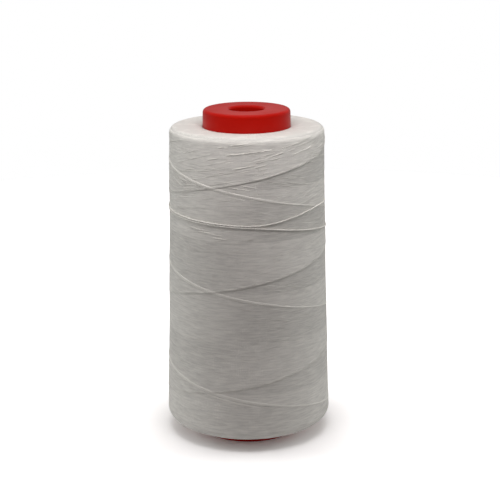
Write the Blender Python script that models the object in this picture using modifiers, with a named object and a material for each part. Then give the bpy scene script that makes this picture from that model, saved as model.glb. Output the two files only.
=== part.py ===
"""Cone of sewing thread: a tapered plastic core that carries a cross-wound package of thread.

Metres, +Z up. The origin is the centre of the core's foot, on the surface that it stands on, and
the front of the cone looks along -Y. Each piece is one closed body in its own object.
"""

import math

import bpy
import numpy as np

MM = 0.001
TURN = 2 * math.pi

# Core: a moulded tube, open at its foot and closed at its top by a web with a spindle hole. Its
# wall tapers evenly up to the collar, which is nearly straight.
CORE_HEIGHT = 145 * MM
CORE_FOOT_RADIUS = 23.9 * MM
COLLAR_TOP_RADIUS = 18.9 * MM
COLLAR_BASE_RADIUS = 19.1 * MM
COLLAR_LENGTH = 12 * MM
CORE_WALL = 2.0 * MM
WEB_THICKNESS = 3.0 * MM
SPINDLE_HOLE_RADIUS = 7.6 * MM
COLLAR_RIM_ROUND = 1.0 * MM
HOLE_LIP_ROUND = 0.7 * MM
FOOT_EDGE_ROUND = 0.4 * MM
INSIDE_CORNER_ROUND = 1.5 * MM

# Thread package: the annular wound body, from its lower end to the shoulder under the collar.
PACKAGE_BOTTOM = 5.3 * MM
PACKAGE_TOP = 137.7 * MM
PACKAGE_LOWER_RADIUS = 36.6 * MM
PACKAGE_UPPER_RADIUS = 33.5 * MM
SHOULDER_ROUND = 2.6 * MM
LOWER_CORNER_ROUND = 4.2 * MM
SADDLE = 0.3 * MM
TOP_DISH = 0.4 * MM
CORE_GAP = 0.3 * MM

# Main wraps: a right-hand and a left-hand wrap that cross on the front, left of its middle, at
# this height and again one pitch and two pitches higher. The angle is measured from +X.
WRAP_PITCH = 44.8 * MM
WRAP_CROSS_HEIGHT = 26.9 * MM
WRAP_CROSS_ANGLE = math.radians(-115.7)
WRAP_RELIEF = 0.2 * MM
WRAP_FADE = 12 * MM

# Facets of the turned shapes.
TURN_STEPS = 64
ROUND_STEPS = 4
SIDE_STEPS = 26
MERGE_DISTANCE = 0.00001
SHARP_ANGLE = math.radians(35)

CORE_RED = (0.80, 0.010, 0.004, 1.0)
THREAD_WHITE = (0.80, 0.78, 0.76, 1.0)


def clear_scene():
    """Remove every object that the file starts with."""
    for leftover in list(bpy.data.objects):
        bpy.data.objects.remove(leftover, do_unlink=True)


def principled(name, colour, roughness):
    """Return a non-metallic Principled material."""
    material = bpy.data.materials.new(name)
    material.use_nodes = True
    shader = material.node_tree.nodes["Principled BSDF"]
    shader.inputs["Base Color"].default_value = colour
    shader.inputs["Roughness"].default_value = roughness
    shader.inputs["Metallic"].default_value = 0.0
    return material


def arc(centre, radius, start, end):
    """Return (radius, height) points on a round corner, from one angle in degrees to another."""
    angles = np.radians(np.linspace(start, end, ROUND_STEPS + 1))
    return [(centre[0] + radius * math.cos(a), centre[1] + radius * math.sin(a)) for a in angles]


def core_radius(height):
    """Return the radius of the core's outer wall at a height: the taper, then the collar."""
    heights = [0, CORE_HEIGHT - COLLAR_LENGTH, CORE_HEIGHT]
    radii = [CORE_FOOT_RADIUS, COLLAR_BASE_RADIUS, COLLAR_TOP_RADIUS]
    return float(np.interp(height, heights, radii))


def core_profile():
    """Return the core's section: down the outside, up the inside, under the web and out on top."""
    rim_height = CORE_HEIGHT - COLLAR_RIM_ROUND
    rim_centre = (core_radius(rim_height) - COLLAR_RIM_ROUND, rim_height)
    foot_outer = (core_radius(FOOT_EDGE_ROUND) - FOOT_EDGE_ROUND, FOOT_EDGE_ROUND)
    foot_inner = (core_radius(0) - CORE_WALL + FOOT_EDGE_ROUND, FOOT_EDGE_ROUND)
    web_underside = CORE_HEIGHT - WEB_THICKNESS
    corner_height = web_underside - INSIDE_CORNER_ROUND
    corner_centre = (core_radius(corner_height) - CORE_WALL - INSIDE_CORNER_ROUND, corner_height)
    lip_centre = (SPINDLE_HOLE_RADIUS + HOLE_LIP_ROUND, CORE_HEIGHT - HOLE_LIP_ROUND)

    section = arc(rim_centre, COLLAR_RIM_ROUND, 90, 0)
    section += [(COLLAR_BASE_RADIUS, CORE_HEIGHT - COLLAR_LENGTH)]
    section += arc(foot_outer, FOOT_EDGE_ROUND, 0, -90)
    section += arc(foot_inner, FOOT_EDGE_ROUND, -90, -180)
    section += arc(corner_centre, INSIDE_CORNER_ROUND, 0, 90)
    section += [(SPINDLE_HOLE_RADIUS, web_underside)]
    section += arc(lip_centre, HOLE_LIP_ROUND, 180, 90)
    return section


def package_side_radius(share):
    """Return the package's radius at a share of its side, 0 at the shoulder and 1 at the foot.

    The side widens evenly and is drawn in a little at mid-height, like a saddle, because the
    thread builds up where the traverse turns back at the two ends.
    """
    taper = (PACKAGE_LOWER_RADIUS - PACKAGE_UPPER_RADIUS) * share
    return PACKAGE_UPPER_RADIUS + taper - SADDLE * 4 * share * (1 - share)


def package_profile():
    """Return the package's section: shoulder, side and lower corner, then up its bore.

    The top dips a little from the shoulder to the collar.
    """
    side_top = PACKAGE_TOP - SHOULDER_ROUND
    side_foot = PACKAGE_BOTTOM + LOWER_CORNER_ROUND
    shoulder_centre = (PACKAGE_UPPER_RADIUS - SHOULDER_ROUND, side_top)
    corner_centre = (PACKAGE_LOWER_RADIUS - LOWER_CORNER_ROUND, side_foot)
    shares = np.linspace(0, 1, SIDE_STEPS + 1)[1:-1]

    section = arc(shoulder_centre, SHOULDER_ROUND, 90, 0)
    section += [(package_side_radius(s), side_top + (side_foot - side_top) * s) for s in shares]
    section += arc(corner_centre, LOWER_CORNER_ROUND, 0, -90)
    section += [(core_radius(PACKAGE_BOTTOM) + CORE_GAP, PACKAGE_BOTTOM)]
    section += [(core_radius(PACKAGE_TOP) + CORE_GAP, PACKAGE_TOP - TOP_DISH)]
    return section


def turned(name, section, material, collection):
    """Turn a closed section about the Z axis and return the object."""
    count = len(section)
    mesh = bpy.data.meshes.new(name)
    points = [(radius, 0.0, height) for radius, height in section]
    edges = [(i, (i + 1) % count) for i in range(count)]
    mesh.from_pydata(points, edges, [])
    mesh.materials.append(material)
    piece = bpy.data.objects.new(name, mesh)
    collection.objects.link(piece)

    screw = piece.modifiers.new("Turn", "SCREW")
    screw.axis = "Z"
    screw.angle = TURN
    screw.steps = TURN_STEPS
    screw.render_steps = TURN_STEPS
    screw.use_merge_vertices = True
    screw.merge_threshold = MERGE_DISTANCE
    return piece


def bake_modifiers(piece):
    """Give the object the mesh that its modifiers make, and remove them."""
    depsgraph = bpy.context.evaluated_depsgraph_get()
    mesh = bpy.data.meshes.new_from_object(piece.evaluated_get(depsgraph))
    piece.modifiers.clear()
    piece.data = mesh


def raise_wraps(package):
    """Raise the package's side along its main wraps.

    A right-hand and a left-hand wrap each swell the side by half of the relief, as a cosine of
    the angle past their crossing plus or minus the turns climbed from it, so they stand out most
    where they cross. The swelling fades out towards the two ends, and the bore keeps its shape.
    """
    mesh = package.data
    coords = np.empty(len(mesh.vertices) * 3)
    mesh.vertices.foreach_get("co", coords)
    coords = coords.reshape(-1, 3)
    radius = np.hypot(coords[:, 0], coords[:, 1])
    angle = np.arctan2(coords[:, 1], coords[:, 0])
    height = coords[:, 2]

    climbed = TURN * (height - WRAP_CROSS_HEIGHT) / WRAP_PITCH
    across = angle - WRAP_CROSS_ANGLE
    swell = (np.cos(across - climbed) + np.cos(across + climbed)) / 2
    end_distance = np.minimum(height - PACKAGE_BOTTOM, PACKAGE_TOP - height)
    fade = np.clip(end_distance / WRAP_FADE, 0, 1)
    on_side = radius > PACKAGE_UPPER_RADIUS - SHOULDER_ROUND
    growth = np.where(on_side, WRAP_RELIEF * swell * fade, 0)
    coords[:, :2] *= (1 + growth / radius)[:, None]
    mesh.vertices.foreach_set("co", coords.ravel())
    mesh.update()


def shade_round(piece):
    """Shade a turned piece smooth, with its corners kept sharp."""
    piece.data.shade_smooth()
    piece.data.set_sharp_from_angle(angle=SHARP_ANGLE)


def build():
    """Model the two pieces of the cone of thread."""
    clear_scene()
    collection = bpy.data.collections.new("cone of thread")
    bpy.context.scene.collection.children.link(collection)

    plastic = principled("Moulded polypropylene", CORE_RED, 0.35)
    thread = principled("Spun polyester thread", THREAD_WHITE, 0.80)

    core = turned("core", core_profile(), plastic, collection)
    package = turned("thread_package", package_profile(), thread, collection)
    for piece in (core, package):
        bake_modifiers(piece)
    raise_wraps(package)
    for piece in (core, package):
        shade_round(piece)


build()
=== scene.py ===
"""Cone of sewing thread: the looks of a cross-wound thread package on its moulded plastic core.

The wound body, the single turns and last wraps that lie on it, and the core are worked out as
surfaces on grids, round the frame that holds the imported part. Metres, +Z up, front towards -Y.
"""

import math

import bpy
import numpy as np
from bpy.props import FloatProperty, FloatVectorProperty, IntProperty, PointerProperty
from mathutils import Matrix, Vector


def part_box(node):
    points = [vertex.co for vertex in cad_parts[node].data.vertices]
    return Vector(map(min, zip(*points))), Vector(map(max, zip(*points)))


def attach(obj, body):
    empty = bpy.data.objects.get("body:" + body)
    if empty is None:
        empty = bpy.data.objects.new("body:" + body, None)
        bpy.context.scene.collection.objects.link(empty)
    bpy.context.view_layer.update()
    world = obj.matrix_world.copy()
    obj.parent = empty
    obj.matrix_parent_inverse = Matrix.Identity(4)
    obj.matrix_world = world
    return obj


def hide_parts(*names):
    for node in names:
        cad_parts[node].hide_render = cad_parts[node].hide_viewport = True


bl_info = {
    "name": "Cone of thread",
    "version": (1, 0, 0),
    "blender": (4, 5, 0),
    "location": "3D View > Sidebar > Thread",
    "description": "Builds a cross-wound cone of sewing thread on its plastic core",
    "category": "Add Mesh",
}

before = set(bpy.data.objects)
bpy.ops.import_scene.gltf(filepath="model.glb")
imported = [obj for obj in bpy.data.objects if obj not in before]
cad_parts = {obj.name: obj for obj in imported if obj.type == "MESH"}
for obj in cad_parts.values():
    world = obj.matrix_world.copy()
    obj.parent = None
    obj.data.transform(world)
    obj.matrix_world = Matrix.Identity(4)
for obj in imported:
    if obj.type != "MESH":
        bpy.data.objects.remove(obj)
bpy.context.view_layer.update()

MM = 0.001
TURN = 2 * math.pi
BODY = "root"
CORE_NODE = "core"
PACKAGE_NODE = "thread_package"
CORE_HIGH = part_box(CORE_NODE)[1]
PACKAGE_LOW, PACKAGE_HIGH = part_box(PACKAGE_NODE)


# ---------------------------------------------------------------------------------------------
# Sizes read from the frame
# ---------------------------------------------------------------------------------------------


def node_points(name):
    """Return a CAD node's vertices as an array of points."""
    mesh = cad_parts[name].data
    points = np.empty(len(mesh.vertices) * 3, np.float32)
    mesh.vertices.foreach_get("co", points)
    return points.reshape(-1, 3).astype(float)


def radius_between(name, low, high, pick):
    """Return the least or largest radius of a node's vertices between two heights."""
    points = node_points(name)
    inside = (points[:, 2] >= low) & (points[:, 2] <= high)
    return float(pick(np.hypot(points[inside, 0], points[inside, 1])))


CORE_TOP_RADIUS = radius_between(CORE_NODE, CORE_HIGH.z * 0.98, CORE_HIGH.z, np.max)
COLLAR_BASE_RADIUS = radius_between(CORE_NODE, CORE_HIGH.z * 0.9, CORE_HIGH.z * 0.98, np.max)
CORE_FOOT_RADIUS = radius_between(CORE_NODE, 0, CORE_HIGH.z * 0.1, np.max)
HOLE_RADIUS = radius_between(CORE_NODE, CORE_HIGH.z * 0.9, CORE_HIGH.z, np.min)
PACKAGE_FOOT_RADIUS = PACKAGE_HIGH.x
PACKAGE_HEIGHT = PACKAGE_HIGH.z - PACKAGE_LOW.z
SHOULDER_RADIUS = radius_between(
    PACKAGE_NODE, PACKAGE_HIGH.z - 0.05 * PACKAGE_HEIGHT, PACKAGE_HIGH.z, np.max
)


# ---------------------------------------------------------------------------------------------
# Settings that a user would change
# ---------------------------------------------------------------------------------------------


def length(name, description, default):
    """Return a property that holds a length in metres."""
    return FloatProperty(
        name=name, description=description, default=default, unit="LENGTH", subtype="DISTANCE",
        precision=5, min=0.0,
    )


def colour(name, description, hex_code):
    """Return a property that holds a colour, given as an sRGB hex code."""
    return FloatVectorProperty(
        name=name, description=description, default=linear(hex_code)[:3], subtype="COLOR",
        size=3, min=0.0, max=1.0,
    )


def linear(hex_code):
    """Turn an sRGB hex code into a linear RGBA colour."""
    values = [int(hex_code[i : i + 2], 16) / 255 for i in (0, 2, 4)]
    curve = [v / 12.92 if v <= 0.04045 else ((v + 0.055) / 1.055) ** 2.4 for v in values]
    return (*curve, 1.0)


class CoreSettings(bpy.types.PropertyGroup):
    """Sizes and colour of the moulded core."""

    wall: length("Wall", "Thickness of the moulded wall", 2.0 * MM)
    web: length("Web", "Thickness of the web that closes the top", 3.0 * MM)
    collar: length("Collar", "Length of the straight collar at the top", 12.0 * MM)
    rim_round: length("Rim rounding", "Radius of the collar's top edge", 1.5 * MM)
    lip_round: length("Lip rounding", "Radius of the spindle hole's edge", 1.2 * MM)
    plastic: colour("Plastic", "Colour of the core", "AC0D02")


class ThreadSettings(bpy.types.PropertyGroup):
    """Sizes and colour of the wound thread."""

    yarn: length("Yarn", "Diameter of the yarn, drawn thicker than the real 0.2 mm", 0.30 * MM)
    pitch: length("Pitch", "Climb of the traverse in one turn", 44.8 * MM)
    shoulder: length("Shoulder", "Rounding of the upper edge", 2.6 * MM)
    corner: length("Lower corner", "Rounding of the lower edge", 4.2 * MM)
    saddle: length("Saddle", "How far the side is drawn in at mid-height", 0.3 * MM)
    dish: length("Dish", "How far the top dips towards the collar", 0.4 * MM)
    laid_turns: IntProperty(
        name="Laid turns", description="Single turns that lie on the wound body each way round",
        default=420, min=1, max=600,
    )
    seed: IntProperty(name="Seed", description="Seed of the winding's unevenness", default=7)
    thread: colour("Thread", "Colour of the thread", "F8F6EF")


class StageSettings(bpy.types.PropertyGroup):
    """The floor, the lights and the camera."""

    floor_width: length("Floor", "Width of the floor", 1.1)
    distance: length("Distance", "Camera's distance from the cone's axis", 0.5538)
    height: length("Height", "Camera's height above the floor", 0.2365)
    aside: length("Aside", "Camera's place to the right of the axis", 0.0011)
    lens: FloatProperty(
        name="Lens", description="Focal length", default=93.3, unit="CAMERA", min=10.0
    )
    pitch: FloatProperty(
        name="Pitch", description="How far the camera looks down",
        default=math.radians(15.63), subtype="ANGLE",
    )
    roll: FloatProperty(
        name="Roll", description="How far the camera leans", default=math.radians(0.38),
        subtype="ANGLE",
    )


# ---------------------------------------------------------------------------------------------
# Surfaces
# ---------------------------------------------------------------------------------------------


def arc(centre, radius, start, end, count):
    """Return (radius, height) points on a circle, evenly spaced from one angle to another."""
    angles = np.radians(np.linspace(start, end, count))
    return np.stack(
        [centre[0] + radius * np.cos(angles), centre[1] + radius * np.sin(angles)], axis=-1
    )


def line(start, end, count):
    """Return points evenly spaced between two (radius, height) points, ends left out."""
    share = np.linspace(0, 1, count + 2)[1:-1, None]
    return np.array(start) * (1 - share) + np.array(end) * share


def section_normals(section):
    """Return each point's outward normal on a closed section that runs down its outer side."""
    ahead = np.roll(section, -1, axis=0) - np.roll(section, 1, axis=0)
    normals = np.stack([-ahead[:, 1], ahead[:, 0]], axis=-1)
    return normals / np.linalg.norm(normals, axis=1, keepdims=True)


def round_the_axis(radius, height, angle):
    """Place points by radius, height and angle; angle 0 faces -Y and grows towards +X."""
    return np.stack([radius * np.sin(angle), -radius * np.cos(angle), height], axis=-1)


def grid_faces(rows, columns, close_rows):
    """Return the quads of a grid whose columns close, and whose rows close if asked."""
    row_starts = np.arange(rows if close_rows else rows - 1)
    i, j = np.meshgrid(row_starts, np.arange(columns), indexing="ij")
    below, beside = (i + 1) % rows, (j + 1) % columns
    corners = [i * columns + j, below * columns + j, below * columns + beside, i * columns + beside]
    return np.stack(corners, axis=-1).reshape(-1, 4)


def build_piece(name, points, faces, uv, material, lay=None):
    """Make a smooth mesh piece, ride it on the body and give it its finish.

    lay says for each point which way round the topmost turns run there: 1 up, -1 down, 0 both.
    The greater it is, the paler the yarn: a painted sheen between those two values, and past them
    painted shade and painted highlight.
    """
    mesh = bpy.data.meshes.new(name)
    mesh.from_pydata(points.reshape(-1, 3), [], faces)
    layer = mesh.uv_layers.new(name="UVMap")
    corners = np.empty(len(mesh.loops), np.int32)
    mesh.loops.foreach_get("vertex_index", corners)
    layer.data.foreach_set("uv", uv.reshape(-1, 2)[corners].astype(np.float32).ravel())
    if lay is not None:
        mesh.attributes.new("lay", "FLOAT", "POINT").data.foreach_set(
            "value", lay.astype(np.float32).ravel()
        )
    mesh.shade_smooth()
    mesh.materials.append(material)
    piece = bpy.data.objects.new(name, mesh)
    bpy.context.scene.collection.objects.link(piece)
    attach(piece, BODY)
    return piece


# ---------------------------------------------------------------------------------------------
# The winding: one set of formulas for the wound body and for what lies on it
# ---------------------------------------------------------------------------------------------

# Where the climbing and the falling wrap cross on the front: the lowest crossing, with one more
# each pitch above it.
CROSSING_ANGLE = math.radians(-25.7)
CROSSING_HEIGHT = 26.9 * MM

# Lay of the last layer, which climbs all the way round. Values past the two ways round are there for
# painted light: the top end is drawn darker than the side as painted shade, and the last wraps the
# palest as a painted highlight.
LAST_LAYER_LAY = 0.8
PAINTED_TOP_SHADE_LAY = -2.4
PAINTED_HIGHLIGHT_LAY = 6.0

# Relief of the side: the swelling along the two wraps, the step at the last layer's edge with its
# width, how far above the edge the layer sinks back, and how near to an end all of it fades out.
SWELL = 0.10 * MM
BAND_EDGE = 0.42 * MM
BAND_EDGE_WIDTH = 0.75 * MM
BAND_FADE = 7.0 * MM
END_FADE = 6.0 * MM

# Fine ridges: their height and how many sines make them. Then the least and the greatest, for one
# sine, of its ridges in a pitch, its swells round the cone and its radians of swell in each
# millimetre of height.
FINE_RELIEF = 0.028 * MM
STREAK_WAVES = 44
STREAK_RIDGES = (20, 51)
STREAK_SWELLS = (3, 16)
STREAK_RISE = (0.15, 0.90)

# Rings on the flat top, where the turns lie side by side.
RING_RELIEF = 0.03 * MM
RING_WIDTH = 0.9 * MM

# Fineness of the wound body's grid, and the gaps between its bore and the core.
SIDE_ROWS = 392
BODY_COLUMNS = 200
BORE_FOOT_GAP = 0.15 * MM
BORE_TOP_GAP = 0.12 * MM


def side_limits(settings):
    """Return the heights of the side's lower and upper ends."""
    return PACKAGE_LOW.z + settings.corner, PACKAGE_HIGH.z - settings.shoulder


def side_share(height, settings):
    """Return how far up the side a height lies, 0 at its lower end and 1 at its upper end."""
    low, high = side_limits(settings)
    return np.clip((height - low) / (high - low), 0, 1)


def side_radius(height, settings):
    """Radius of the plain side: an even taper, drawn in at mid-height by a parabola."""
    share = 1 - side_share(height, settings)
    taper = (PACKAGE_FOOT_RADIUS - SHOULDER_RADIUS) * share
    return SHOULDER_RADIUS + taper - settings.saddle * 4 * share * (1 - share)


def wrapped(value, period):
    """Bring a value into the range of half a period either side of zero."""
    return (value + period / 2) % period - period / 2


def past_crossing(angle, height, settings):
    """Return how far a point lies round from the nearest crossing, in turns, and how far up."""
    across = wrapped(angle - CROSSING_ANGLE, TURN) / TURN
    return across, wrapped(height - CROSSING_HEIGHT, settings.pitch)


def above_edge(angle, height, settings):
    """Return how far above the climbing wrap's edge a point lies, up to half a pitch."""
    across = (angle - CROSSING_ANGLE) / TURN
    return wrapped(height - CROSSING_HEIGHT - settings.pitch * across, settings.pitch)


def lay_direction(angle, height, settings):
    """Return which way round the topmost turns run: 1 climbing, -1 falling, 0 mixed.

    The climbing and the falling wrap part the side into fields, and the level line through their
    crossing parts the field to the right of it in two. Each field's turns run one way, but in the
    field to the left of the crossing both ways show. The left and right fields run into each
    other over about 30 degrees, further right the higher they are, and at the back they fade to
    both ways. They part more clearly towards the top, and above the highest crossing the last
    layer climbs all the way round.
    """
    across, up = past_crossing(angle, height, settings)
    climbing, falling = settings.pitch * across, -settings.pitch * across
    top_layer = height > CROSSING_HEIGHT + settings.pitch * (2 + np.abs(across))
    right = np.where(up < falling, -1, np.where(up < 0, 1, np.where(up < climbing, -1, 1)))
    left = np.where(up < climbing, 1, np.where(up < falling, 0, -1))
    up_side = side_share(height, settings)
    to_right = np.clip((across + 0.02 - 0.05 * up_side) / 0.08, 0, 1)
    merging = np.clip((0.46 - np.abs(across)) / 0.12, 0, 1)
    clear = 0.45 + 0.70 * up_side
    fields = (right * to_right + left * (1 - to_right)) * merging * clear
    return np.where(top_layer, LAST_LAYER_LAY, fields)


def streaks(angle, height, settings):
    """Relief of many fine wraps.

    A sum of sines along both wraps, stronger along the way that the topmost turns run. Each
    sine has a whole number of ridges in a pitch, so it closes round the cone, and its strength
    waxes and wanes with slower sines of both parameters, so that a ridge shows for a
    centimetre or two and sinks again.
    """
    random = np.random.default_rng(settings.seed)
    lay = lay_direction(angle, height, settings)
    relief = np.zeros(np.broadcast(angle, height).shape)
    for ridges in random.integers(*STREAK_RIDGES, STREAK_WAVES, endpoint=True):
        way = random.choice([-1, 1])
        phase, drift, wave = random.uniform(0, TURN, 3)
        around = int(random.integers(*STREAK_SWELLS, endpoint=True))
        rise = random.uniform(*STREAK_RISE) / MM
        turns = height / settings.pitch - way * angle / TURN
        strength = np.cos(around * angle + drift) * np.cos(rise * height + wave)
        strength = strength * (0.65 + 0.60 * way * lay)
        relief += np.sin(TURN * ridges * turns + phase) * strength
    return relief * math.sqrt(2.4 / STREAK_WAVES)


def edge_strength(angle, height, settings):
    """How sharply the last layer's edge stands out, as a share of its full step.

    A bell curve of the angle on a level, both of which grow with the height. The bell stands to
    the right of the crossing, by 10 degrees at the side's foot and by 43 at its top.
    """
    share = side_share(height, settings)
    across = wrapped(angle - CROSSING_ANGLE, TURN)
    bell = np.exp(-(((across - np.radians(10 + 33 * share)) / math.radians(36)) ** 2))
    return 0.26 + 0.16 * share + (0.36 + 0.24 * share) * bell


def winding_relief(angle, height, settings):
    """Relief of the wound side, in metres, fading out at the two ends.

    The two crossing wraps swell it as cosines. The last layer's edge climbs once round each
    pitch: the side stands proud just above that edge and sinks back over some millimetres.
    """
    low, high = PACKAGE_LOW.z, PACKAGE_HIGH.z
    turn = TURN * (height - CROSSING_HEIGHT) / settings.pitch
    across = angle - CROSSING_ANGLE
    swell = SWELL * (np.cos(across - turn) + np.cos(across + turn)) / 2
    above = above_edge(angle, height, settings)
    width = BAND_EDGE_WIDTH * (0.5 + 0.5 * side_share(height, settings))
    ramp = np.clip(above / width + 0.5, 0, 1)
    strength = BAND_EDGE * edge_strength(angle, height, settings)
    edge = strength * ramp * np.exp(-np.maximum(above, 0) / BAND_FADE)
    # A small even drop makes up for the step: the mean radius stays within 0.02 mm of the plain one.
    level = BAND_EDGE * 0.7 * BAND_FADE / settings.pitch
    fine = FINE_RELIEF * streaks(angle, height, settings)
    fade = np.clip(np.minimum(height - low, high - height) / END_FADE, 0, 1)
    return (swell + edge - level) * fade + fine * np.clip(fade * 2, 0, 1)


def wound_section(settings):
    """Return the wound body's closed section: shoulder, side, corner, underside, bore and top."""
    low, high = side_limits(settings)
    bore_foot = CORE_FOOT_RADIUS + BORE_FOOT_GAP
    bore_top = COLLAR_BASE_RADIUS + BORE_TOP_GAP
    dished = PACKAGE_HIGH.z - settings.dish
    shoulder_radius = SHOULDER_RADIUS - settings.shoulder
    corner_radius = PACKAGE_FOOT_RADIUS - settings.corner
    heights = np.linspace(high, low, SIDE_ROWS + 2)[1:-1]
    side = np.stack([side_radius(heights, settings), heights], axis=-1)
    shoulder = arc((shoulder_radius, high), settings.shoulder, 90, 0, 14)
    corner = arc((corner_radius, low), settings.corner, 0, -90, 16)
    underside = line(corner[-1], (bore_foot, PACKAGE_LOW.z), 10)
    bore = line((bore_foot, PACKAGE_LOW.z), (bore_top, dished), 4)
    top = line((bore_top, dished), shoulder[0], 26)
    return np.concatenate(
        [
            shoulder,
            side,
            corner,
            underside,
            [(bore_foot, PACKAGE_LOW.z)],
            bore,
            [(bore_top, dished)],
            top,
        ]
    )


def build_wound_body(settings, material):
    """Carry the wound section round the axis and raise its skin by the winding's relief.

    Point(row, column) = section(row) + relief x section normal(row), turned by the column's
    angle. The bore keeps its plain radius, and the flat top has rings instead.
    """
    section = wound_section(settings)
    normals = section_normals(section)
    angle = np.linspace(-math.pi, math.pi, BODY_COLUMNS, endpoint=False)[None, :]
    radius = section[:, :1]
    height = section[:, 1:]
    outward, upward = normals[:, :1], normals[:, 1:]
    heights = np.broadcast_to(height, (len(section), BODY_COLUMNS))
    flat_top = upward > 0.8
    in_bore = outward < -0.5
    rings = RING_RELIEF * np.sin(TURN * radius / RING_WIDTH) * np.ones_like(angle)
    relief = np.where(flat_top, rings, winding_relief(angle, heights, settings))
    relief = np.where(in_bore, 0, relief)
    grid = round_the_axis(radius + relief * outward, height + relief * upward, angle)
    travel = np.concatenate([[0], np.cumsum(np.linalg.norm(np.diff(section, axis=0), axis=1))])
    uv = np.stack(
        np.broadcast_arrays(angle / TURN + 0.5, travel[:, None] / travel[-1]), axis=-1
    )
    faces = grid_faces(len(section), BODY_COLUMNS, close_rows=True)
    # The top and the upper half of the shoulder are drawn darker, a painted shade, and both ways
    # show on the underside.
    lay = lay_direction(angle, heights, settings)
    lay = np.where(upward > 0.7, PAINTED_TOP_SHADE_LAY, np.where(upward < -0.5, 0, lay))
    return build_piece("wound_body", grid, faces, uv, material, lay)


# ---------------------------------------------------------------------------------------------
# Yarns
# ---------------------------------------------------------------------------------------------

# How thick each kind is drawn, in yarn thicknesses.
LAID_THICKNESS = 0.85
BAND_THICKNESS = 2.2
SLACK_THICKNESS = 1.7
RAISED_THICKNESS = 1.25
EDGE_THICKNESS = 1.2

# Plied yarn: how far its lobes swell, in the flat bands and elsewhere, and how far they turn from
# one step along it to the next, in radians.
BAND_PLY = 0.04
PLY = 0.12
PLY_TURN = 0.8

# How far along a wrap its sunk end reaches, in turns, and how many steps draw a turn of it.
WRAP_END = 0.015
WRAP_STEPS = 700

# The falling wrap: where the whole of it starts and ends (turns from the lowest crossing), how far
# below its path it lies (mm) and how proud it stands (yarn thicknesses). Then the runs beside it
# at every crossing (turns from that crossing), the one below it at the lowest crossing only, and
# the crossings themselves (turns from the lowest).
FALLING_WRAP = (-2.46, 0.42, 0.0, -0.50)
BESIDE_CROSSINGS = (
    (-0.19, 0.15, -0.40, -0.52),
    (-0.15, 0.12, 0.42, -0.80),
)
BELOW_CROSSING = (-0.02, 0.105, 1.5, -0.62)
CROSSINGS = (-2, -1, 0)

# The last layer's edge: where it starts and ends (turns from the lowest crossing), its yarns, and
# how far apart they lie (yarn thicknesses).
EDGE_START = -0.40
EDGE_END = 2.44
EDGE_YARNS = 3
EDGE_SPACING = 1.1

# Slack wraps: where they start and end (degrees from the front), their height at the front (mm),
# their climb (mm in a degree), how much the climb changes at the first bend and at the second,
# and how proud they stand (yarn thicknesses). Then where the bends lie and how wide each is
# (degrees).
SLACK_WRAPS = (
    (-95, 84, 101.1, -0.024, 0.131, -0.112, 0.80),
    (-88, 96, 100.4, -0.0225, -0.068, 0.020, 0.85),
)
BENDS = (10, 57)
BEND_WIDTH = 5.0

# Single turns that stand out on the upper half: where they start and end (degrees from the
# front), the height where they start (mm), their climb (mm in a degree) and how proud they stand
# (yarn thicknesses).
RAISED_TURNS = (
    (-23, -12, 133.7, 0.060, 0.20),
    (-13, 2, 134.9, 0.060, 0.20),
    (-16, 19, 130.8, 0.064, 0.32),
    (-30, -19, 128.3, 0.130, 0.22),
    (-16, -8, 127.3, 0.140, 0.25),
    (-11, 7, 125.0, 0.105, 0.32),
    (5, 15, 127.5, 0.130, 0.32),
    (5, 14, 125.7, 0.130, 0.32),
    (-7, 3, 123.3, 0.130, 0.20),
    (16, 28, 130.1, 0.120, 0.25),
    (16, 26, 128.8, 0.080, 0.22),
    (41, 57, 130.8, 0.110, 0.30),
    (60, 75, 130.3, 0.100, 0.25),
    (-14, -3, 117.6, -0.090, 0.32),
    (-6, 8, 118.6, -0.110, 0.32),
    (-7, 4, 117.0, -0.080, 0.22),
    (-12, 0, 113.2, -0.100, 0.15),
    (-46, -31, 98.7, -0.030, 0.15),
    (-38, -22, 97.7, -0.045, 0.20),
    (-31, -17, 97.3, -0.060, 0.18),
    (-27, -13, 95.6, -0.030, 0.15),
)


def yarn_tubes(angle, height, lift, thickness, settings, sides, ply=0.0, ply_turn=0.0):
    """Return the grid of yarns that lie on the wound side.

    angle, height and lift are (yarns, steps) arrays. Each yarn's centre lies on the wound side
    plus its lift. Round it runs a circle of the yarn's thickness, in the plane that holds the
    axis; for a plied yarn the circle swells into two lobes that turn along it.
    """
    seat = side_radius(height, settings) + winding_relief(angle, height, settings) + lift
    low, high = side_limits(settings)
    over = np.clip((height - high) / settings.shoulder, 0, 1)
    under = np.clip((low - height) / settings.corner, 0, 1)
    seat = seat - settings.shoulder * (1 - np.sqrt(1 - over**2))
    seat = seat - settings.corner * (1 - np.sqrt(1 - under**2))
    around = np.linspace(0, TURN, sides, endpoint=False)
    along = np.arange(angle.shape[1])[None, :, None]
    lobes = 1 + ply * np.cos(2 * (around - ply_turn * along))
    outward = thickness / 2 * lobes * np.cos(around)
    upward = thickness / 2 * lobes * np.sin(around)
    radius = seat[..., None] + outward
    lifted = height[..., None] + upward
    return round_the_axis(radius, lifted, np.broadcast_to(angle[..., None], radius.shape))


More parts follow.
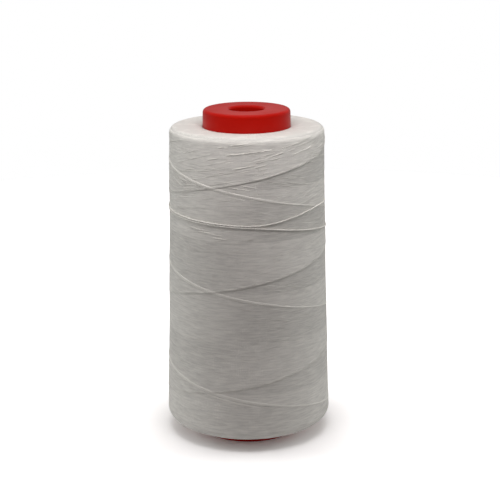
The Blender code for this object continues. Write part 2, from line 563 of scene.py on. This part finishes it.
def build_yarns(name, grids, material, lay=0.0):
    """Make one mesh of yarns, each a closed tube with a flat cap at both ends."""
    points, faces, uvs, start = [], [], [], 0
    for grid in grids:
        yarns, steps, sides, _ = grid.shape
        block = grid_faces(steps, sides, close_rows=False)
        offsets = start + np.arange(yarns)[:, None, None] * steps * sides
        faces += (block[None] + offsets).reshape(-1, 4).tolist()
        first = start + np.arange(yarns)[:, None] * steps * sides + np.arange(sides)
        faces += first.tolist()
        faces += (first + (steps - 1) * sides)[:, ::-1].tolist()
        points.append(grid.reshape(-1, 3))
        along = np.arange(steps)[:, None] / steps + np.zeros(sides)
        around = np.zeros(steps)[:, None] + np.arange(sides) / sides
        uvs.append(np.tile(np.stack([along, around], axis=-1).reshape(-1, 2), (yarns, 1)))
        start += yarns * steps * sides
    points = np.concatenate(points)
    lays = np.full(len(points), lay)
    return build_piece(name, points, faces, np.concatenate(uvs), material, lays)


def sunk_ends(place, start, end, reach):
    """Return how far a run sinks at its two ends: 1 there, fading along the run by the reach."""
    return np.exp(-(place - start) / reach) + np.exp(-(end - place) / reach)


def laid_turns(settings, way, count, seed):
    """Return the paths of single turns that lie on the body, climbing or falling one way.

    They are strewn at random, closer together towards the top, and kept off the fields whose
    topmost turns run the other way. Each is a few millimetres to a few centimetres long, climbs
    or falls at about the traverse's pitch, rises out of the side at its start and sinks into it
    at its end.
    """
    random = np.random.default_rng(seed)
    low, high = side_limits(settings)
    begin = random.uniform(-math.pi, math.pi, 12 * count)
    middle = low + (high - low) * random.uniform(0, 1, 12 * count) ** 0.75
    fitting = lay_direction(begin, middle, settings) * way > -0.2
    begin, middle = begin[fitting][:count, None], middle[fitting][:count, None]
    share = np.linspace(0, 1, 22)[None, :]
    turns = random.uniform(0.02, 0.13, begin.shape)
    angle = begin + TURN * turns * (share - 0.5)
    pitch = settings.pitch * way * random.normal(1.0, 0.15, begin.shape)
    height = np.clip(middle + pitch * turns * (share - 0.5), low - 2 * MM, high + 1 * MM)
    proud = side_share(middle, settings) ** 4
    depth = settings.yarn * (random.uniform(-0.34, -0.16, begin.shape) + 0.30 * proud)
    sink = 0.6 * settings.yarn * sunk_ends(share, 0, 1, 0.12)
    return angle, height, depth - sink


def build_laid_turns(settings, material):
    """Lay the single turns on the body, one mesh for each way round."""
    for name, way in (("laid_turns_up", 1), ("laid_turns_down", -1)):
        angle, height, lift = laid_turns(
            settings, way, settings.laid_turns, settings.seed + 10 * way + 20
        )
        grid = yarn_tubes(angle, height, lift, settings.yarn * LAID_THICKNESS, settings, 6)
        build_yarns(name, [grid], material)


def falling_wrap(settings, start, end, below, lift):
    """Return a run of the falling wrap between two angles, in turns from the lowest crossing.

    The height falls one pitch a turn, and below sets the run lower by that many millimetres. It
    stands proudest where it passes the climbing edge, as a bell curve of the turns past each
    crossing, and a ramp of them sinks it into the side to the right of there.
    """
    turns = np.linspace(start, end, int(1 + (end - start) * WRAP_STEPS))[None, :]
    height = CROSSING_HEIGHT - settings.pitch * turns - below * MM
    past = wrapped(turns, 1.0)
    proud = np.exp(-((past / 0.13) ** 2)) - np.clip((past - 0.05) / 0.12, 0, 1)
    ends = sunk_ends(turns, start, end, WRAP_END)
    return CROSSING_ANGLE + TURN * turns, height, settings.yarn * (lift + 0.16 * proud - ends)


def edge_yarns(settings):
    """Return the yarns of the last layer's climbing edge, beside each other.

    The height climbs one pitch a turn, from the lower corner to the shoulder. The lowest yarn
    rounds off the step, and each next one lies a yarn higher and a little deeper. Both ends sink
    into the side.
    """
    paths = []
    turns = np.linspace(EDGE_START, EDGE_END, 2000)[None, :]
    angle = CROSSING_ANGLE + TURN * turns
    ends = sunk_ends(turns, EDGE_START, EDGE_END, WRAP_END)
    for place in range(EDGE_YARNS):
        height = CROSSING_HEIGHT + settings.pitch * turns + place * settings.yarn * EDGE_SPACING
        proud = (0.30 - 0.16 * place) * edge_strength(angle, height, settings) - 0.36
        paths.append((angle, height, settings.yarn * (proud - ends)))
    return paths


def slack_wraps(settings):
    """Return the paths of the slack wraps.

    Height = height at the front + climb x angle + each change of climb x softplus of the angle
    past its bend, which turns the path smoothly from one climb to the next.
    """
    paths = []
    for start, end, height, climb, *changes, lift in SLACK_WRAPS:
        degrees = np.linspace(start, end, 320)[None, :]
        path = height + climb * degrees
        for bend, change in zip(BENDS, changes):
            path += change * BEND_WIDTH * np.log1p(np.exp((degrees - bend) / BEND_WIDTH))
        path = path * MM
        ends = sunk_ends(degrees, start, end, 4)
        paths.append((np.radians(degrees), path, settings.yarn * (lift - ends)))
    return paths


def raised_turns(settings):
    """Return the paths of the single turns that stand out: straight climbs, sunk at both ends."""
    paths = []
    for start, end, height, climb, lift in RAISED_TURNS:
        degrees = np.linspace(start, end, 40)[None, :]
        path = (height + climb * (degrees - start)) * MM
        ends = sunk_ends(degrees, start, end, 2.5)
        paths.append((np.radians(degrees), path, settings.yarn * (lift - ends)))
    return paths


def build_last_wraps(settings, material):
    """Lay the last layer's edge, the falling wraps, the slack wraps and the raised turns.

    The falling wraps are a few turns side by side, sunk to flat bands that catch the light. All but
    the edge's yarns are drawn in the full colour as well, a painted highlight.
    """
    bands = [falling_wrap(settings, *FALLING_WRAP)]
    for turn in CROSSINGS:
        for start, end, below, lift in BESIDE_CROSSINGS:
            bands.append(falling_wrap(settings, turn + start, turn + end, below, lift))
    bands.append(falling_wrap(settings, *BELOW_CROSSING))
    wraps = []
    for paths, thickness, sides, ply in (
        (bands, BAND_THICKNESS, 12, BAND_PLY),
        (slack_wraps(settings), SLACK_THICKNESS, 8, PLY),
        (raised_turns(settings), RAISED_THICKNESS, 6, PLY),
    ):
        for path in paths:
            wraps.append(
                yarn_tubes(*path, settings.yarn * thickness, settings, sides, ply, PLY_TURN)
            )
    edge = [
        yarn_tubes(*path, settings.yarn * EDGE_THICKNESS, settings, 8)
        for path in edge_yarns(settings)
    ]
    # The last wraps are drawn in the full colour, a painted highlight for the light they catch.
    build_yarns("last_wraps", wraps, material, PAINTED_HIGHLIGHT_LAY)
    build_yarns("layer_edge", edge, material)


# ---------------------------------------------------------------------------------------------
# The core
# ---------------------------------------------------------------------------------------------

FOOT_ROUND = 0.4 * MM
INSIDE_ROUND = 1.5 * MM
CORE_COLUMNS = 192


def core_section(settings):
    """Return the core's closed section: rim, outer wall, foot, inner wall, web and hole."""
    top = CORE_HIGH.z
    base = top - settings.collar
    draft = (COLLAR_BASE_RADIUS - CORE_TOP_RADIUS) / settings.collar
    taper = (CORE_FOOT_RADIUS - COLLAR_BASE_RADIUS) / base
    rim = settings.rim_round
    lip = settings.lip_round
    edge = FOOT_ROUND
    corner = INSIDE_ROUND
    rim_arc = arc((CORE_TOP_RADIUS + draft * rim - rim, top - rim), rim, 90, 0, 10)
    foot_outer = arc((CORE_FOOT_RADIUS - taper * edge - edge, edge), edge, 0, -90, 6)
    inner_foot = CORE_FOOT_RADIUS - settings.wall
    foot_inner = arc((inner_foot + edge, edge), edge, -90, -180, 6)
    web_height = top - settings.web
    inner_top = CORE_TOP_RADIUS + draft * settings.web - settings.wall
    inside = arc((inner_top - corner, web_height - corner), corner, 0, 90, 8)
    hole_foot = (HOLE_RADIUS, web_height)
    lip_arc = arc((HOLE_RADIUS + lip, top - lip), lip, 180, 90, 8)
    pieces = [
        rim_arc,
        line(rim_arc[-1], (COLLAR_BASE_RADIUS, base), 24),
        [(COLLAR_BASE_RADIUS, base)],
        line((COLLAR_BASE_RADIUS, base), foot_outer[0], 60),
        foot_outer,
        foot_inner,
        line(foot_inner[-1], inside[0], 20),
        inside,
        line(inside[-1], hole_foot, 6),
        [hole_foot],
        line(hole_foot, lip_arc[0], 5),
        lip_arc,
        line(lip_arc[-1], rim_arc[0], 14),
    ]
    return np.concatenate(pieces)


def build_core(settings, material):
    """Turn the core's section about the axis: point = section(row) turned by the angle."""
    section = core_section(settings)
    angle = np.linspace(-math.pi, math.pi, CORE_COLUMNS, endpoint=False)[None, :]
    grid = round_the_axis(*np.broadcast_arrays(section[:, :1], section[:, 1:], angle))
    rows = len(section)
    uv = np.stack(
        np.broadcast_arrays(angle / TURN + 0.5, np.arange(rows)[:, None] / rows), axis=-1
    )
    faces = grid_faces(rows, CORE_COLUMNS, close_rows=True)
    return build_piece("core_moulding", grid, faces, uv, material)


# ---------------------------------------------------------------------------------------------
# Materials
# ---------------------------------------------------------------------------------------------


def add(tree, kind, inputs=None, **settings):
    """Add a shader node, set its properties, and give each input a value or a socket to read."""
    made = tree.nodes.new(kind)
    for key, value in settings.items():
        setattr(made, key, value)
    for key, value in (inputs or {}).items():
        if isinstance(value, bpy.types.NodeSocket):
            tree.links.new(value, made.inputs[key])
        else:
            made.inputs[key].default_value = value
    return made


def new_material(name):
    """Return an empty node material and its tree."""
    material = bpy.data.materials.new(name)
    material.use_nodes = True
    material.node_tree.nodes.clear()
    return material, material.node_tree


def moulded_polypropylene(settings):
    """Injection-moulded polypropylene: a full colour under a soft, slightly uneven gloss."""
    material, tree = new_material("moulded polypropylene")
    place = add(tree, "ShaderNodeTexCoord").outputs["Object"]
    # Sink and flow marks of a moulding: broad, about 12 mm across, faint in gloss and colour.
    flow = add(tree, "ShaderNodeTexNoise", {"Vector": place, "Scale": 80.0, "Detail": 2.0})
    # The tool's spark-eroded grain: 0.15 mm pits, drawn at 0.3 mm so that they show.
    grain = add(tree, "ShaderNodeTexNoise", {"Vector": place, "Scale": 3200.0, "Detail": 3.0})
    rough = add(
        tree, "ShaderNodeMapRange",
        {
            "Value": flow.outputs["Fac"],
            "From Min": 0.3, "From Max": 0.7,
            "To Min": 0.36, "To Max": 0.46,
        },
    )
    tint = add(
        tree, "ShaderNodeMix",
        {
            "Factor": flow.outputs["Fac"],
            "A": (*settings.plastic, 1.0),
            "B": (*[c * 0.86 for c in settings.plastic], 1.0),
        },
        data_type="RGBA",
    )
    bump = add(
        tree, "ShaderNodeBump",
        {"Height": grain.outputs["Fac"], "Strength": 0.12, "Distance": 0.00005},
    )
    # The gloss is held well under the usual level, so that the collar keeps its full colour.
    shader = add(
        tree, "ShaderNodeBsdfPrincipled",
        {
            "Base Color": tint.outputs["Result"],
            "Roughness": rough.outputs["Result"],
            "Normal": bump.outputs["Normal"],
            "IOR": 1.49,
            "Specular IOR Level": 0.15,
        },
    )
    add(tree, "ShaderNodeOutputMaterial", {"Surface": shader.outputs["BSDF"]})
    return material


def spun_polyester(settings):
    """Spun polyester thread: a white matt fibre with a faint sheen, wound in fine turns."""
    material, tree = new_material("spun polyester thread")
    place = add(tree, "ShaderNodeTexCoord").outputs["Object"]
    parts = add(tree, "ShaderNodeSeparateXYZ", {"Vector": place})
    back = add(tree, "ShaderNodeMath", {0: parts.outputs["Y"], 1: -1.0}, operation="MULTIPLY")
    angle = add(
        tree, "ShaderNodeMath", {0: parts.outputs["X"], 1: back.outputs[0]}, operation="ARCTAN2"
    )
    turns = add(tree, "ShaderNodeMath", {0: angle.outputs[0], 1: TURN}, operation="DIVIDE")
    rise = add(
        tree, "ShaderNodeMath", {0: parts.outputs["Z"], 1: settings.pitch}, operation="DIVIDE"
    )
    # Turns of yarn 0.25 mm apart, drawn 0.37 mm apart so that they show: 120 in a pitch.
    ridges = 120.0
    ways = []
    for operation in ("SUBTRACT", "ADD"):
        way = add(
            tree, "ShaderNodeMath", {0: rise.outputs[0], 1: turns.outputs[0]}, operation=operation
        )
        phase = add(
            tree, "ShaderNodeMath", {0: way.outputs[0], 1: TURN * ridges}, operation="MULTIPLY"
        )
        ways.append(add(tree, "ShaderNodeMath", {0: phase.outputs[0]}, operation="SINE"))
    # The turns show one way in each field of the winding, with patches 6 mm across of the other.
    patch = add(tree, "ShaderNodeTexNoise", {"Vector": place, "Scale": 160.0, "Detail": 2.0})
    lay = add(tree, "ShaderNodeAttribute", attribute_name="lay")
    lean = add(
        tree, "ShaderNodeMath", {0: lay.outputs["Fac"], 1: 0.12, 2: patch.outputs["Fac"]},
        operation="MULTIPLY_ADD",
    )
    choice = add(
        tree, "ShaderNodeMapRange", {"Value": lean.outputs[0], "From Min": 0.45, "From Max": 0.55},
    )
    ridge = add(
        tree, "ShaderNodeMix",
        {"Factor": choice.outputs["Result"], "A": ways[1].outputs[0], "B": ways[0].outputs[0]},
    )
    # Uneven turns: streaks about 6 mm long and 0.6 mm thick.
    stretch = add(
        tree, "ShaderNodeMapping", {"Vector": place, "Scale": (165.0, 165.0, 1650.0)}
    )
    streak = add(
        tree, "ShaderNodeTexNoise",
        {"Vector": stretch.outputs["Vector"], "Scale": 1.0, "Detail": 4.0, "Roughness": 0.6},
    )
    height = add(
        tree, "ShaderNodeMath",
        {0: ridge.outputs["Result"], 1: 0.35, 2: streak.outputs["Fac"]}, operation="MULTIPLY_ADD",
    )
    bump = add(
        tree, "ShaderNodeBump",
        {"Height": height.outputs[0], "Strength": 0.9, "Distance": 0.00022},
    )
    # The streaks vary the yarn's colour. Climbing turns are drawn paler than falling ones, a painted
    # sheen for the way their gloss lies. The top end is drawn darker still, a painted shade, and the
    # last wraps in the full colour, a painted highlight.
    uneven = add(
        tree, "ShaderNodeMapRange",
        {"Value": streak.outputs["Fac"], "From Min": 0.25, "From Max": 0.75},
    )
    tone_and_painted_light = add(
        tree, "ShaderNodeMath", {0: lay.outputs["Fac"], 1: 0.21, 2: uneven.outputs["Result"]},
        operation="MULTIPLY_ADD", use_clamp=True,
    )
    tint = add(
        tree, "ShaderNodeMix",
        {
            "Factor": tone_and_painted_light.outputs[0],
            "A": (*[c * 0.70 for c in settings.thread], 1.0),
            "B": (*settings.thread, 1.0),
        },
        data_type="RGBA",
    )
    shader = add(
        tree, "ShaderNodeBsdfPrincipled",
        {
            "Base Color": tint.outputs["Result"],
            "Roughness": 0.62,
            "IOR": 1.54,
            "Specular IOR Level": 0.35,
            "Sheen Weight": 0.12,
            "Sheen Roughness": 0.5,
            "Normal": bump.outputs["Normal"],
        },
    )
    add(tree, "ShaderNodeOutputMaterial", {"Surface": shader.outputs["BSDF"]})
    return material


def shared(name, make, settings):
    """Return the material of that name, and make it the first time."""
    return bpy.data.materials.get(name) or make(settings)


# ---------------------------------------------------------------------------------------------
# The stage
# ---------------------------------------------------------------------------------------------

FLOOR_SIDES = 96
PLAIN = (1.0, 1.0, 1.0)
COOL = (0.95, 1.0, 0.98)
WARM = (1.0, 0.97, 0.98)
ROOM_TINT = (1.0, 0.915, 0.915, 1.0)
ROOM_LIGHT = 0.285

# Soft boxes: name, place (m), width and depth (m), power (W), the height on the cone's axis that
# each faces (m), its tint, and whether gloss mirrors it.
SOFT_BOXES = (
    ("overhead_box", (0.0, 0.13, 1.25), 0.95, 0.95, 4.2, 0.1, PLAIN, True),
    ("left_box", (-1.1, 0.25, 0.35), 0.7, 0.9, 5.45, 0.1, COOL, False),
    ("right_box", (1.1, 0.25, 0.35), 0.7, 0.9, 4.85, 0.1, COOL, False),
    ("near_box", (0.0, -0.095, 0.245), 0.12, 0.05, 0.215, 0.235, WARM, False),
)


def studio_floor(settings):
    """Make a flat disc of pale floor, as rings of points about the axis."""
    radius = settings.floor_width / 2 * np.linspace(0.1, 1, 8)[:, None]
    angle = np.linspace(0, TURN, FLOOR_SIDES, endpoint=False)[None, :]
    grid = round_the_axis(*np.broadcast_arrays(radius, np.zeros_like(radius), angle))
    faces = grid_faces(len(radius), FLOOR_SIDES, close_rows=False)[:, ::-1].tolist()
    faces.append(list(range(FLOOR_SIDES))[::-1])
    mesh = bpy.data.meshes.new("floor")
    mesh.from_pydata(grid.reshape(-1, 3), [], faces)
    floor = bpy.data.objects.new("floor", mesh)
    bpy.context.scene.collection.objects.link(floor)
    material, tree = new_material("white sweep")
    place = add(tree, "ShaderNodeTexCoord").outputs["Object"]
    out = add(tree, "ShaderNodeVectorMath", {0: place}, operation="LENGTH")
    # Close to the cone it throws back more light than further out, to lift the cone's lower side.
    near = add(
        tree, "ShaderNodeMapRange",
        {
            "Value": out.outputs["Value"],
            "From Min": 0.05, "From Max": 0.22,
            "To Min": 0.75, "To Max": 0.16,
        },
    )
    bounce = add(tree, "ShaderNodeBsdfDiffuse", {"Color": near.outputs["Result"]})
    # The camera sees it brighter than any real floor, so that it is pure white away from the cone;
    # within 7 cm of the axis it is drawn darker, a painted shadow that deepens the cast one.
    white = add(
        tree, "ShaderNodeMapRange",
        {
            "Value": out.outputs["Value"],
            "From Min": 0.03, "From Max": 0.07,
            "To Min": 1.25, "To Max": 1.95,
        },
    )
    seen_with_painted_shadow = add(tree, "ShaderNodeBsdfDiffuse", {"Color": white.outputs["Result"]})
    path = add(tree, "ShaderNodeLightPath")
    mix = add(
        tree, "ShaderNodeMixShader",
        {
            0: path.outputs["Is Camera Ray"],
            1: bounce.outputs["BSDF"],
            2: seen_with_painted_shadow.outputs["BSDF"],
        },
    )
    add(tree, "ShaderNodeOutputMaterial", {"Surface": mix.outputs["Shader"]})
    mesh.materials.append(material)


def soft_box(name, place, width, depth, power, aim, tint, mirrored):
    """Hang a soft box that faces a height on the cone's axis and that no camera sees.

    Gloss shows it only if it is mirrored; it lights the matt part of a surface either way.
    """
    data = bpy.data.lights.new(name, "AREA")
    data.color = tint
    data.shape = "RECTANGLE"
    data.size = width
    data.size_y = depth
    data.energy = power
    lamp = bpy.data.objects.new(name, data)
    bpy.context.scene.collection.objects.link(lamp)
    lamp.visible_camera = False
    lamp.visible_glossy = mirrored
    lamp.location = place
    facing = Vector((0, 0, aim)) - lamp.location
    lamp.rotation_euler = facing.to_track_quat("-Z", "Y").to_euler()


def studio_world():
    """Fill the room with a soft, faintly pink light, and show the camera a white background.

    Gloss mirrors a room that is pale behind the cone and dark in front of it.
    """
    world = bpy.data.worlds.new("studio")
    world.use_nodes = True
    tree = world.node_tree
    tree.nodes.clear()
    room = add(tree, "ShaderNodeBackground", {"Color": ROOM_TINT, "Strength": ROOM_LIGHT})
    direction = add(tree, "ShaderNodeTexCoord").outputs["Generated"]
    parts = add(tree, "ShaderNodeSeparateXYZ", {"Vector": direction})
    pale = add(
        tree, "ShaderNodeMapRange",
        {
            "Value": parts.outputs["Y"],
            "From Min": -0.2, "From Max": 0.6,
            "To Min": 0.03, "To Max": 0.58,
        },
    )
    mirrored = add(tree, "ShaderNodeBackground", {"Strength": pale.outputs["Result"]})
    white = add(tree, "ShaderNodeBackground", {"Color": (1.0, 1.0, 1.0, 1.0), "Strength": 1.0})
    path = add(tree, "ShaderNodeLightPath")
    lit = add(
        tree, "ShaderNodeMixShader",
        {0: path.outputs["Is Glossy Ray"], 1: room.outputs[0], 2: mirrored.outputs[0]},
    )
    mix = add(
        tree, "ShaderNodeMixShader",
        {0: path.outputs["Is Camera Ray"], 1: lit.outputs[0], 2: white.outputs[0]},
    )
    add(tree, "ShaderNodeOutputWorld", {"Surface": mix.outputs["Shader"]})
    bpy.context.scene.world = world


def studio_camera(settings):
    """Stand the camera in front of the cone, looking down by the pitch and leaning by the roll."""
    data = bpy.data.cameras.new("camera")
    data.lens = settings.lens
    camera = bpy.data.objects.new("camera", data)
    bpy.context.scene.collection.objects.link(camera)
    tilt = Matrix.Rotation(math.pi / 2 - settings.pitch, 4, "X")
    lean = Matrix.Rotation(-settings.roll, 4, "Z")
    place = Matrix.Translation((settings.aside, -settings.distance, settings.height))
    camera.matrix_world = place @ tilt @ lean
    bpy.context.scene.camera = camera


# ---------------------------------------------------------------------------------------------
# Operators and panel
# ---------------------------------------------------------------------------------------------


class THREADCONE_OT_core(bpy.types.Operator):
    """Build the moulded core"""

    bl_idname = "thread_cone.core"
    bl_label = "Core"

    def execute(self, context):
        settings = context.scene.thread_cone_core
        core = build_core(settings, moulded_polypropylene(settings))
        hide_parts(CORE_NODE)
        return {"FINISHED"}


class THREADCONE_OT_wound_body(bpy.types.Operator):
    """Build the wound body of thread"""

    bl_idname = "thread_cone.wound_body"
    bl_label = "Wound body"

    def execute(self, context):
        settings = context.scene.thread_cone_thread
        material = shared("spun polyester thread", spun_polyester, settings)
        body = build_wound_body(settings, material)
        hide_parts(PACKAGE_NODE)
        return {"FINISHED"}


class THREADCONE_OT_turns(bpy.types.Operator):
    """Lay single turns and the last wraps on the wound body"""

    bl_idname = "thread_cone.turns"
    bl_label = "Turns and last wraps"

    def execute(self, context):
        settings = context.scene.thread_cone_thread
        material = shared("spun polyester thread", spun_polyester, settings)
        build_laid_turns(settings, material)
        build_last_wraps(settings, material)
        return {"FINISHED"}


class THREADCONE_OT_stage(bpy.types.Operator):
    """Set up the floor, the soft boxes, the room and the camera"""

    bl_idname = "thread_cone.stage"
    bl_label = "Stage"

    def execute(self, context):
        settings = context.scene.thread_cone_stage
        studio_floor(settings)
        for box in SOFT_BOXES:
            soft_box(*box)
        studio_world()
        studio_camera(settings)
        context.scene.view_settings.view_transform = "Standard"
        return {"FINISHED"}


class THREADCONE_PT_panel(bpy.types.Panel):
    """Lists the cone of thread's settings and builders"""

    bl_idname = "THREADCONE_PT_panel"
    bl_label = "Cone of thread"
    bl_space_type = "VIEW_3D"
    bl_region_type = "UI"
    bl_category = "Thread"

    def draw(self, context):
        for title, group, operators in (
            ("Core", context.scene.thread_cone_core, ["core"]),
            ("Thread", context.scene.thread_cone_thread, ["wound_body", "turns"]),
            ("Stage", context.scene.thread_cone_stage, ["stage"]),
        ):
            box = self.layout.box()
            box.label(text=title)
            for key in group.bl_rna.properties.keys():
                if key not in ("rna_type", "name"):
                    box.prop(group, key)
            for operator in operators:
                box.operator("thread_cone." + operator)


CLASSES = (
    CoreSettings,
    ThreadSettings,
    StageSettings,
    THREADCONE_OT_core,
    THREADCONE_OT_wound_body,
    THREADCONE_OT_turns,
    THREADCONE_OT_stage,
    THREADCONE_PT_panel,
)


def register():
    """Register the classes and give the scene its settings."""
    for cls in CLASSES:
        bpy.utils.register_class(cls)
    bpy.types.Scene.thread_cone_core = PointerProperty(type=CoreSettings)
    bpy.types.Scene.thread_cone_thread = PointerProperty(type=ThreadSettings)
    bpy.types.Scene.thread_cone_stage = PointerProperty(type=StageSettings)


def unregister():
    """Take the settings and the classes away again."""
    del bpy.types.Scene.thread_cone_stage
    del bpy.types.Scene.thread_cone_thread
    del bpy.types.Scene.thread_cone_core
    for cls in reversed(CLASSES):
        bpy.utils.unregister_class(cls)


def main():
    """Register, build every piece and the stage."""
    register()
    bpy.ops.thread_cone.core()
    bpy.ops.thread_cone.wound_body()
    bpy.ops.thread_cone.turns()
    bpy.ops.thread_cone.stage()


if __name__ == "__main__":
    main()
